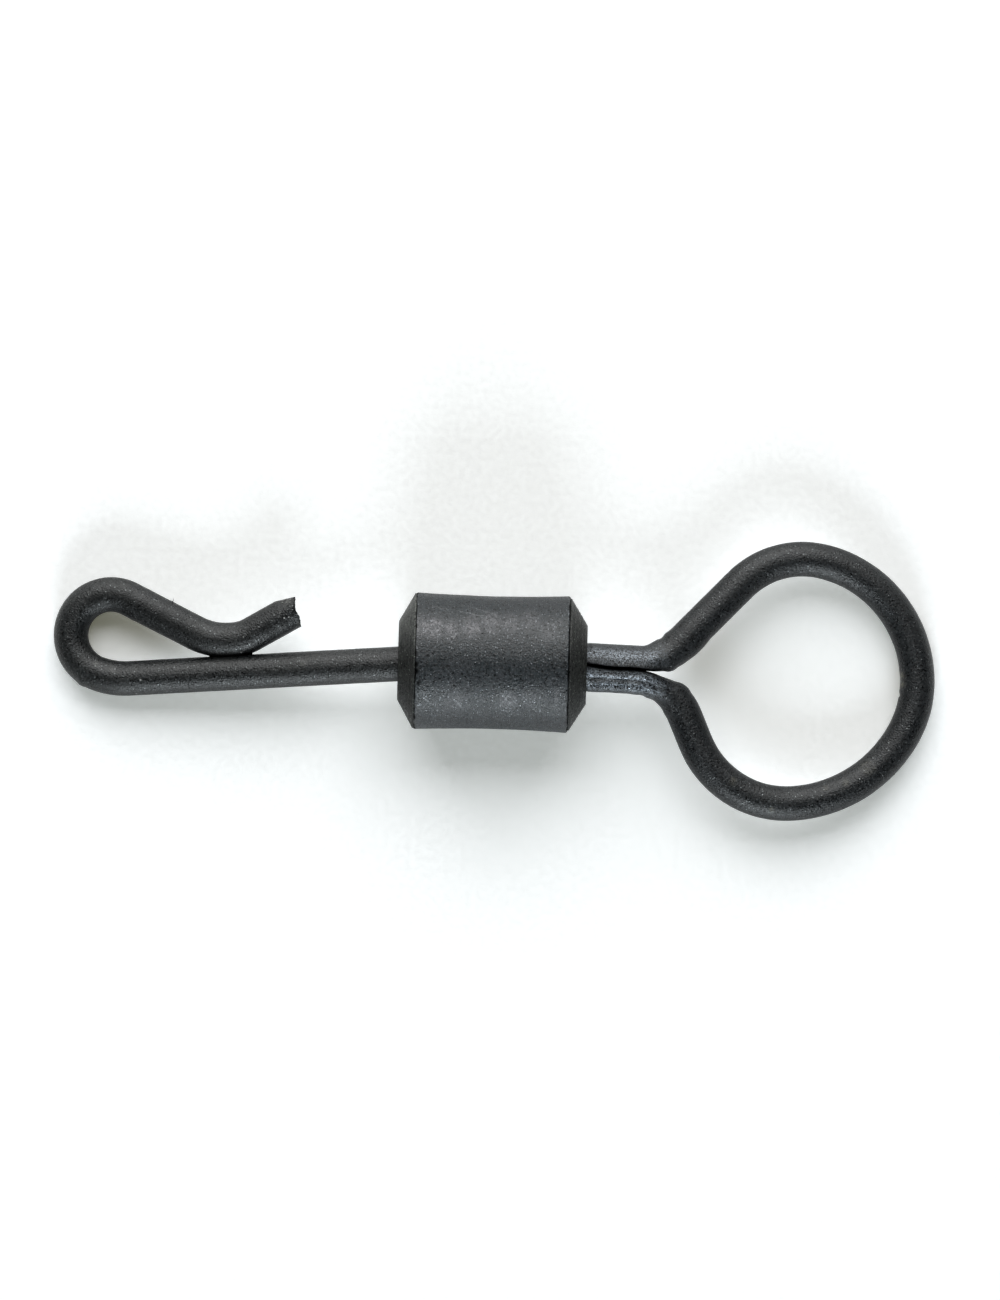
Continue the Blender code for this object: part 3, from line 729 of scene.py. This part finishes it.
def addBridge(mesh, rows, shape, place):
    # a dark fill in the wedges where the belly comes near the shank, painted fully black as shade
    look = shape["bridge"]
    first, last = (place.inverted() @ Vector((*photoSpot(px, look["level"]), place.translation.z)) / mm
                   for px in (look["from"], look["to"]))
    wire = shape["wireDiameter"] / 2
    belly = [(x + wire * math.sin(angle), y - wire * math.cos(angle))
             for x, y, angle, _ in rows[len(rows) * 2 // 3:]]
    belly = np.array([spot for spot in belly if spot[1] < 3 * wire])
    rings = []
    for share in np.linspace(0.0, 1.0, 41):
        x = first.x + (last.x - first.x) * share
        wedge = np.interp(x, belly[:, 0], belly[:, 1]) - wire
        tall = wedge / 2 + look["overlap"]
        closing = min(1.0, 14 * share, 14 * (1 - share)) ** 0.5
        deep = look["height"] * (1 + 0.2 * noise.noise(Vector((x * 9, 0.3, 0.7)))) * (0.35 + 0.65 * closing)
        rings.append([Vector((x, wire + wedge / 2 + tall * math.cos(t), deep * math.sin(t))) * mm
                      for t in roundAngles(24)])
    with editing(mesh) as work:
        addTube(work, rings, 1 if last.x > first.x else -1)


def addBurr(mesh, shape):
    # a hair of coating that stands off the wire's edge
    look = shape["burr"]
    points = pointsOf(mesh)
    foot = Vector(points[int(np.linalg.norm(points[:, :2] - photoSpot(*look["at"]), axis=1).argmin())])
    rings = []
    for share in np.linspace(0.0, 1.0, 7):
        middle = foot + Vector((0.25 * share * share, share, 0.2 * share)) * (look["length"] * mm)
        girth = look["girth"] * mm * (1 - 0.85 * share)
        rings.append([middle + Vector((girth * math.cos(t), 0.0, girth * math.sin(t)))
                      for t in roundAngles(8)])
    with editing(mesh) as work:
        addTube(work, rings, -1)


def makeHook(shape):
    rows = hookRows(shape)
    obj = makeWire("hookWire", rows, shape, hookCoating)
    mesh = obj.data
    face = tearTip(mesh, rows, shape)
    place = jointPlace("hook_spin")
    addBridge(mesh, rows, shape, place)
    mesh.transform(place)
    points = pointsOf(mesh) - np.array([0.0, shape["sag"] * mm, 0.0])
    addBumps(mesh, points, shape["bumps"])
    torn = np.pad(face, (0, len(points) - len(face)))
    setAttribute(mesh, "wearAndSheen", np.maximum(spotWeight(points, shape["wearAndSheen"]), torn * shape["tear"]["wearAndSheen"]))
    # painted shade: the listed shade spots and the cut face are darkened, and the bridge and burr added after
    # the cut are painted fully black
    paintedShade = np.maximum(spotWeight(points, shape["shade"]), torn * shape["tear"]["paintedShade"])
    paintedShade[len(face):] = 1.0
    setAttribute(mesh, "paintedShade", paintedShade)
    addBurr(mesh, shape)
    shadeSmooth(mesh, shape["sharpDeg"])
    return obj


hook = makeHook(hookShape)
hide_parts("quick_change_hook")
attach(hook, "hook")
print("hook made")


# ---- the big ring: one wire, both legs pressed into a round shank

ringShape = {
    "wireDiameter": 0.872, "pivotDepth": 0.5, "shankDiameter": 1.19, "headRadius": 0.92,
    "headThickness": 0.34, "headBack": 0.93, "headRound": 0.035, "splitWidth": 0.095, "splitDepth": 0.17,
    "pressEnd": 1.36, "pressRunout": 1.0, "flatDeg": 38.6, "radius": 2.647, "shoulder": 1.233,
    "sidestep": 0.123, "turnDeg": 4.27,
    "upper": {"ratios": (1.1687, 0.8474), "turns": (77.03,), "neckStart": 1.856, "neckRadius": 0.59,
              "easeDeg": 0.0, "easeRadius": 0.59, "easeRun": 0.0},
    "lower": {"ratios": (1.0026, 1.3047, 0.9392), "turns": (31.25, 58.67), "neckStart": 1.4536,
              "neckRadius": 0.78, "easeDeg": 19.6, "easeRadius": 0.4, "easeRun": 0.518},
    # angles round a leg in radians, from its upper edge; ridges are (how many in a radian, height)
    "flow": {"at": 0.66, "wide": 0.42, "wander": 0.18, "lower": (23.0, 0.032), "fine": (41.0, 0.009),
             "upper": (15.0, 0.006)},
    "crevice": {"wave": 0.016, "perMm": 4.2, "rise": 0.05, "until": 2.05, "longest": 1.6, "shift": 0.042,
                "deep": 0.42},
    # bands round each leg for the burnished grains, set where the highlights fall: partly painted highlight
    "lowerBands": (0.2, (0.38, 0.1, 0.8), (0.84, 0.2, 0.7)), "upperBands": (0.1, (0.6, 0.3, 0.5)),
    "step": 0.055, "legStep": 0.022, "neckPasses": 30, "polishSheen": 0.95, "boreRelief": 0.012, "sides": 72,
    "sharpDeg": 40.0, "lumps": {"height": 0.012, "size": 0.6, "seed": 5.0},
    "fills": [
        (655, 642, 0.3, 0.03, 115), (661, 638, 0.36, 0.045, 128), (671, 669.5, 0.22, 0.04, -75),
        (699, 649, 0.45, 0.03, -45), (684, 687, 0.3, 0.038, 55), (657, 704, 0.4, -0.05, -130),
        (641, 693, 0.4, 0.045, -90), (620, 692, 0.5, 0.03, -90), (594, 691, 0.5, 0.035, -90)],
    "bumps": [
        (899, 695, 0.07, -0.03), (899, 690, 0.06, 0.012), (902, 680, 0.2, -0.008), (826, 788, 0.08, 0.01)],
    "wearAndSheen": [
        (901, 676, 0.16, 0.8), (902, 684, 0.14, 0.8), (868, 767, 0.28, 0.35), (846, 783, 0.12, 0.5),
        (826, 788, 0.1, 0.5), (772, 810, 0.1, 0.5), (733, 781, 0.14, 0.4)],
}


def ringHalf(shape, side):
    # from the far point round to where the press took hold, then along the leg into the barrel
    half = shape["upper"] if side > 0 else shape["lower"]
    radii = [shape["radius"] * share for share in half["ratios"]]
    farX = shape["pivotDepth"] + shape["upper"]["neckStart"] + shape["shoulder"] + 2 * shape["radius"]
    turned = math.pi / 2 + side * math.radians(shape["turnDeg"])
    table = BendTable(farX, side * shape["sidestep"], turned, shape["step"])
    for radius, turn in zip(radii, half["turns"]):
        table.arc(radius, math.radians(turn))
    radius = radii[-1]
    centre = Vector((table.x - radius * math.sin(table.heading), table.y + radius * math.cos(table.heading)))
    leg = shape["wireDiameter"] / 2
    # the lower neck first eases off at a small angle, runs straight, and then bends fully
    ease = math.radians(half["easeDeg"])
    spare = half["easeRadius"] - half["neckRadius"]
    run = half["easeRun"]
    neck = Vector((shape["pivotDepth"] + half["neckStart"] + spare * math.sin(ease) + run * math.cos(ease),
                   leg + half["easeRadius"] - spare * math.cos(ease) + run * math.sin(ease)))
    between = neck - centre
    cross = math.asin(min(1.0, (radius + half["neckRadius"]) / between.length))
    heading = math.atan2(between.y, between.x) % (2 * math.pi) + cross
    table.arc(radius, heading - table.heading)
    table.straight(between.length * math.cos(cross), 0.03)
    table.arc(half["neckRadius"], math.pi + ease - heading, shape["legStep"])
    if ease:
        table.straight(run, shape["legStep"])
        table.arc(half["easeRadius"], -ease, shape["legStep"])
    inside = -shape["headBack"] + shape["headThickness"] / 2
    table.straight(table.x - inside, shape["legStep"])
    if side > 0:
        return table.stations
    return [(x, -y, math.pi - angle) for x, y, angle in reversed(table.stations)]


def pressLegs(points, rows, shape):
    # the dies flatten each leg against the other and leave flow lines along the lower one
    count, sides = len(rows), shape["sides"]
    wire, shank = shape["wireDiameter"] / 2, shape["shankDiameter"] / 2
    nip = math.asin(shape["splitWidth"] / 2 / shank)
    flat = math.radians(shape["flatDeg"])
    edge = shape["pivotDepth"] + shape["pressEnd"]
    middle = np.array([row[:2] for row in rows])
    lefts = np.array([(-math.sin(row[2]), math.cos(row[2])) for row in rows])
    lower = (np.arange(count) < count / 2)[:, None]
    x = middle[:, :1]
    share = 1 - smoothStep(edge, edge + shape["pressRunout"], x)
    # a runs across a leg towards the other one and b upward; theta and phi go round it, before and after
    grid = points[:count * sides].reshape(count, sides, 3) / mm
    a = ((grid[:, :, :2] - middle[:, None]) * lefts[:, None]).sum(2)
    b = grid[:, :, 2]
    theta = np.arctan2(b, a) % (2 * math.pi)
    signed = np.where(theta > math.pi, theta - 2 * math.pi, theta)
    wide = shank * math.cos(nip) - shape["splitDepth"]
    phi = nip + (theta - flat) / (2 * math.pi - 2 * flat) * (math.pi - 2 * nip)
    onFlat = np.abs(signed) < flat
    newA = np.where(onFlat, wire, wire - shank * np.sin(phi))
    newB = np.where(onFlat, wide * signed / flat, shank * np.cos(phi))

    # flow lines: long ridges on the lower leg's upper face, fading into the neck, and low ones on the other
    flow = shape["flow"]
    sway = [[flow["wander"] * noise.noise(Vector((row[0] * 2.1, row[1] * 0.7, 3.0)))] for row in rows]
    sway = np.array(sway)
    (coarse, high), (fine, low), (short, flatter) = flow["lower"], flow["fine"], flow["upper"]
    ridges = np.where(lower, np.sin((phi + sway) * coarse) * high + np.sin((phi - sway) * fine + x * 2) * low,
                      np.sin((phi + sway) * short + 1.0) * flatter)
    upFace = np.exp(-((phi - flow["at"]) / flow["wide"]) ** 2) * ~onFlat
    fade = 1 - smoothStep(edge + 0.25, edge + 0.95, x)
    outOfBore = smoothStep(shape["pivotDepth"] - 0.02, shape["pivotDepth"] + 0.1, x)
    push = ridges * upFace * fade * outOfBore - shape["boreRelief"] * ~onFlat * (1 - outOfBore)
    a = a + (newA - push * np.sin(phi) - a) * share
    b = b + (newB + push * np.cos(phi) - b) * share

    # the crevice wanders a little where the two legs were squeezed together
    look = shape["crevice"]
    crevice = look["wave"] * np.sin(x * look["perMm"] + 0.6) - look["shift"]
    crevice = crevice + look["rise"] * np.clip(look["until"] - x, 0.0, look["longest"])
    crevice = crevice * share * smoothStep(0.0, look["deep"], a)
    a = a + np.where(lower, crevice, -crevice)
    grid[:, :, :2] = middle[:, None] + lefts[:, None] * a[:, :, None]
    grid[:, :, 2] = b

    # the necks are worked round, so no step is left where the pressing ends
    weight = smoothStep(edge - 0.1, edge + 0.25, x) * (1 - smoothStep(edge + 1.3, edge + 1.7, x))
    for _ in range(shape["neckPasses"]):
        behind = np.linalg.norm(grid[1:-1] - grid[:-2], axis=2)[:, :, None]
        before = np.linalg.norm(grid[2:] - grid[1:-1], axis=2)[:, :, None]
        even = (grid[2:] * behind + grid[:-2] * before) / (behind + before) - grid[1:-1]
        grid[1:-1] += even * (0.5 * weight[1:-1])[:, None]
    points[:count * sides] = grid.reshape(-1, 3) * mm

    # the crevice gets painted shade, and the squeezed faces get burnished bands laid where the highlights
    # fall, partly painted highlight
    def bands(least, *rows):
        return least + sum(height * np.exp(-((phi - at) / width) ** 2) for at, width, height in rows)

    creviceShade = np.where(onFlat, 1.0, 0.55 * (1 - smoothStep(nip, 2.6 * nip, np.minimum(phi, math.pi - phi))))
    bright = np.where(lower, bands(*shape["lowerBands"]), bands(*shape["upperBands"]))
    return (creviceShade * share).ravel(), (share * ~onFlat * fade * bright * shape["polishSheen"]).ravel()


def addHead(mesh, shape):
    # the mass inside the barrel that both legs are upset into
    back, thick, wide, bend = (
        shape[key] * mm for key in ("headBack", "headThickness", "headRadius", "headRound"))
    outline = ((0.0, wide - 4 * bend), (bend, wide - bend), (2 * bend, wide), (thick - bend, wide),
               (thick, wide - bend))
    rings = [[Vector((x - back, radius * math.cos(t), radius * math.sin(t))) for t in roundAngles(48)]
             for x, radius in outline]
    with editing(mesh) as work:
        addTube(work, rings, 1)


def makeRing(shape):
    rows = [(x, y, angle, 1.0) for x, y, angle in ringHalf(shape, -1) + ringHalf(shape, 1)[1:]]
    obj = makeWire("ringWire", rows, shape, ringCoating)
    mesh = obj.data
    points = pointsOf(mesh)
    paintedShade, pressedSheen = pressLegs(points, rows, shape)
    putPoints(mesh, points)
    addHead(mesh, shape)
    mesh.transform(jointPlace("ring_spin"))
    points = pointsOf(mesh)
    # the dies filled the corners of the necks: each fill pushes the side that faces its direction
    facing = normalsOf(mesh)[:, :2]
    for px, py, radius, height, aim in shape["fills"]:
        aim = np.array([math.cos(math.radians(aim)), math.sin(math.radians(aim))])
        weight = spotWeight(points, [(px, py, radius, 1.0)]) * smoothStep(0.0, 0.7, facing @ aim)
        points[:, :2] += aim * (weight * height * mm)[:, None]
    putPoints(mesh, points)
    addBumps(mesh, points, shape["bumps"])
    setAttribute(mesh, "wearAndSheen", spotWeight(points, shape["wearAndSheen"]))
    for label, values in (("paintedShade", paintedShade), ("pressedSheen", pressedSheen)):
        setAttribute(mesh, label, np.pad(values, (0, len(points) - len(values))))
    shadeSmooth(mesh, shape["sharpDeg"])
    return obj


ring = makeRing(ringShape)
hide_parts("big_ring")
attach(ring, "ring")
print("ring made")


# ---- crumbs of coating and bare metal that stick to the surfaces

crumbs = {
    "perSquareMm": 60.0, "seed": 11, "scales": (0.35, 1.3), "flatness": (1.0, 0.75, 0.4),
    "barrel": {"size": 0.01, "floor": 0.02, "clear": 0.0, "spots": [
        (527.5, 676, 0.06, 1.0), (404, 668, 0.5, 0.25), (405, 640, 0.4, 0.15), (405, 695, 0.4, 0.2),
        (511, 702, 0.5, 0.3), (455, 703, 0.6, 0.25), (480, 700, 0.5, 0.2), (430, 702, 0.5, 0.2),
        (540, 700, 0.5, 0.25), (548, 618, 0.5, 0.2), (520, 616, 0.5, 0.15), (578, 690, 0.4, 0.12)]},
    "hook": {"size": 0.028, "floor": 0.012, "clear": 2.35, "spots": [
        (303, 663, 0.12, 0.9), (95, 664, 0.08, 0.9), (110, 669, 0.1, 0.8), (121, 668, 0.08, 0.6),
        (284, 600.5, 0.12, 2.4), (290, 601, 0.12, 2.4), (288, 617.5, 0.1, 2.4), (294, 604, 0.1, 2.4),
        (281, 615, 0.1, 1.2), (195, 658, 0.3, 0.15), (140, 690, 0.4, 0.15)]},
    "ring": {"size": 0.011, "floor": 0.015, "clear": 2.35, "spots": [
        (826, 788, 0.07, 1.0), (846, 783, 0.06, 0.8), (772, 810, 0.06, 1.0), (733, 780, 0.1, 0.8),
        (868, 767, 0.25, 0.3), (902, 680, 0.15, 0.5), (616, 684, 0.5, 0.4), (612, 655, 0.5, 0.3),
        (700, 770, 0.1, 0.4)]},
}


def makeCrumbTree():
    tree, taken, given = newTree("crumbsOnSurface", [
        ("Most Per Area", "NodeSocketFloat"), ("Crumb Size", "NodeSocketFloat"), ("Seed", "NodeSocketInt"),
        ("Finish", "NodeSocketMaterial")])
    wanted = namedValue(tree, "crumbs")
    density = addMath(tree, "MULTIPLY", wanted, taken.outputs["Most Per Area"])
    spread = addNode(tree, "GeometryNodeDistributePointsOnFaces", {
        "Mesh": taken.outputs["Geometry"], "Density": density, "Seed": taken.outputs["Seed"]},
        distribute_method="RANDOM")
    crumb = addNode(tree, "GeometryNodeMeshIcoSphere", {
        "Radius": taken.outputs["Crumb Size"], "Subdivisions": 1}).outputs["Mesh"]
    smallest, largest = crumbs["scales"]
    size = addNode(tree, "FunctionNodeRandomValue", {2: smallest, 3: largest, "Seed": taken.outputs["Seed"]},
                   data_type="FLOAT").outputs[1]
    placed = addNode(tree, "GeometryNodeInstanceOnPoints", {
        "Points": spread.outputs["Points"], "Instance": crumb, "Rotation": spread.outputs["Rotation"],
        "Scale": vectorMath(tree, "SCALE", {0: crumbs["flatness"], "Scale": size})}).outputs["Instances"]
    return endTree(tree, placed, taken.outputs["Finish"], given)


crumbTree = makeCrumbTree()


def scatterCrumbs(name, body, hosts):
    look = crumbs[body]
    mesh = bpy.data.meshes.new(name)
    with editing(mesh) as joined:
        for host in hosts:
            joined.from_mesh(host.data)
    points = pointsOf(mesh)
    onTop = smoothStep(-0.1, 0.1, normalsOf(mesh)[:, 2])
    amount = (look["floor"] + spotWeight(points, look["spots"])) * onTop
    amount[np.abs(points[:, 0] - barrelMiddle.x) < look["clear"] * mm] = 0.0
    setAttribute(mesh, "crumbs", amount)
    obj = linkObject(name, mesh)
    useTree(obj, crumbTree, {
        "Most Per Area": crumbs["perSquareMm"] / mm ** 2, "Crumb Size": look["size"] * mm,
        "Seed": crumbs["seed"], "Finish": bareFleck})
    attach(obj, body)


scatterCrumbs("barrelCrumbs", "barrel", [sleeve, hookBush, ringBush])
scatterCrumbs("hookCrumbs", "hook", [hook])
scatterCrumbs("ringCrumbs", "ring", [ring])
print("crumbs scattered")


# ---- the studio: a pale floor, a soft key light beyond the part, a narrower one on the near side

studio = {
    "floorSize": 3.0, "floorColour": (0.84, 0.845, 0.84), "seenColour": (1.066, 1.08, 1.118),
    "glowTint": (1.0, 1.0, 0.68), "seenGlow": 0.11, "glowRise": -0.05, "glowFrom": 8.0, "glowTo": 17.0,
    "paperGrain": 0.045, "paperSize": 0.14, "worldLight": 0.02, "worldTint": (1.0, 0.99, 0.96),
    "distance": 0.3,
    "lamps": {
        "keySoftbox": {"tiltDeg": 55.0, "azimuthDeg": 94.0, "width": 0.36, "height": 0.38, "radiance": 3.55,
                       "tint": (0.99, 1.0, 0.995)},
        "nearStrip": {"tiltDeg": 69.0, "azimuthDeg": -88.0, "width": 0.14, "height": 0.14, "radiance": 11.5,
                      "tint": (0.93, 1.0, 1.035)},
        "overhead": {"tiltDeg": 2.0, "azimuthDeg": 0.0, "width": 0.26, "height": 0.26, "radiance": 0.1,
                     "tint": (1.0, 1.0, 0.97)},
    },
}


def makeFloor(look):
    half = look["floorSize"] / 2
    mesh = bpy.data.meshes.new("floor")
    corners = [(-half, -half, 0), (half, -half, 0), (half, half, 0), (-half, half, 0)]
    mesh.from_pydata(corners, [], [(0, 1, 2, 3)])
    material = bpy.data.materials.new("paleFloor")
    material.use_nodes = True
    tree = material.node_tree
    tree.nodes.clear()
    plain = addNode(tree, "ShaderNodeBsdfDiffuse", {"Color": (*look["floorColour"], 1.0)}).outputs[0]
    # the camera sees paper with a faint grain and a soft glow about the part
    spot = addNode(tree, "ShaderNodeTexCoord").outputs["Object"]
    paper = addNode(tree, "ShaderNodeTexNoise", {
        "Vector": spot, "Scale": 1 / (look["paperSize"] * mm), "Detail": 3.0}).outputs[0]
    paper = addNode(tree, "ShaderNodeMapRange", {
        "Value": paper, "From Min": 0.35, "From Max": 0.65}).outputs[0]
    dull, clean = ([channel * (1 + look["paperGrain"] * sign) for channel in look["seenColour"]]
                   for sign in (-1, 1))
    tone = addNode(tree, "ShaderNodeMix", {0: paper, 6: (*dull, 1.0), 7: (*clean, 1.0)}, data_type="RGBA")
    seen = addNode(tree, "ShaderNodeBsdfDiffuse", {"Color": tone.outputs[2]}).outputs[0]
    rise = addNode(tree, "ShaderNodeMapRange", {
        "Value": vectorMath(tree, "LENGTH", {0: spot}, "Value"), "From Min": look["glowFrom"] * mm,
        "From Max": look["glowTo"] * mm, "To Min": look["seenGlow"],
        "To Max": look["seenGlow"] + look["glowRise"]}, interpolation_type="SMOOTHSTEP").outputs[0]
    glow = addNode(tree, "ShaderNodeEmission", {
        "Color": (*look["glowTint"], 1.0), "Strength": rise}).outputs[0]
    both = addNode(tree, "ShaderNodeAddShader", {0: seen, 1: glow}).outputs[0]
    camera = addNode(tree, "ShaderNodeLightPath").outputs["Is Camera Ray"]
    mixed = addNode(tree, "ShaderNodeMixShader", {0: camera, 1: plain, 2: both}).outputs[0]
    addNode(tree, "ShaderNodeOutputMaterial", {"Surface": mixed})
    mesh.materials.append(material)
    return linkObject("floor", mesh)


def makeLamp(name, look, target, distance):
    tilt, azimuth = math.radians(look["tiltDeg"]), math.radians(look["azimuthDeg"])
    towards = Vector((math.sin(tilt) * math.cos(azimuth), math.sin(tilt) * math.sin(azimuth), math.cos(tilt)))
    data = bpy.data.lights.new(name, "AREA")
    data.shape = "RECTANGLE"
    data.size, data.size_y = look["width"], look["height"]
    data.energy = look["radiance"] * math.pi * look["width"] * look["height"]
    data.color = look["tint"]
    lamp = linkObject(name, data)
    lamp.location = target + towards * distance
    lamp.rotation_euler = towards.to_track_quat("Z", "Y").to_euler()
    lamp.visible_camera = False


floor = makeFloor(studio)
for lampName, lampLook in studio["lamps"].items():
    makeLamp(lampName, lampLook, barrelMiddle, studio["distance"])

world = bpy.data.worlds.new("paleRoom")
world.use_nodes = True
bpy.context.scene.world = world
worldTree = world.node_tree
worldTree.nodes.clear()
ambient, backdrop = (
    addNode(worldTree, "ShaderNodeBackground", {"Color": (*tint, 1.0), "Strength": strength}).outputs[0]
    for tint, strength in ((studio["worldTint"], studio["worldLight"]), ((1.0, 1.0, 1.0), 1.0)))
cameraRay = addNode(worldTree, "ShaderNodeLightPath").outputs["Is Camera Ray"]
worldMix = addNode(worldTree, "ShaderNodeMixShader", {0: cameraRay, 1: ambient, 2: backdrop}).outputs[0]
addNode(worldTree, "ShaderNodeOutputWorld", {"Surface": worldMix})
print("studio made")


# ---- the camera looks straight down from far enough away that height hardly changes the scale

view = {"distance": 0.6, "imageHeight": 1300, "sensor": 36.0, "centre": (500.0, 650.0)}


def makeCamera(look):
    data = bpy.data.cameras.new("photoCamera")
    data.sensor_width = look["sensor"]
    seenMm = look["imageHeight"] / photo["pixelsPerMm"]
    data.lens = look["sensor"] * look["distance"] / (seenMm * mm)
    data.clip_start = 0.001
    data.clip_end = 10.0
    camera = linkObject("photoCamera", data)
    camera.location = (*photoSpot(*look["centre"]), barrelMiddle.z + look["distance"])
    camera.rotation_euler = (0.0, 0.0, math.radians(photo["turnDeg"]))
    bpy.context.scene.camera = camera


makeCamera(view)
bpy.context.scene.view_settings.view_transform = "Standard"
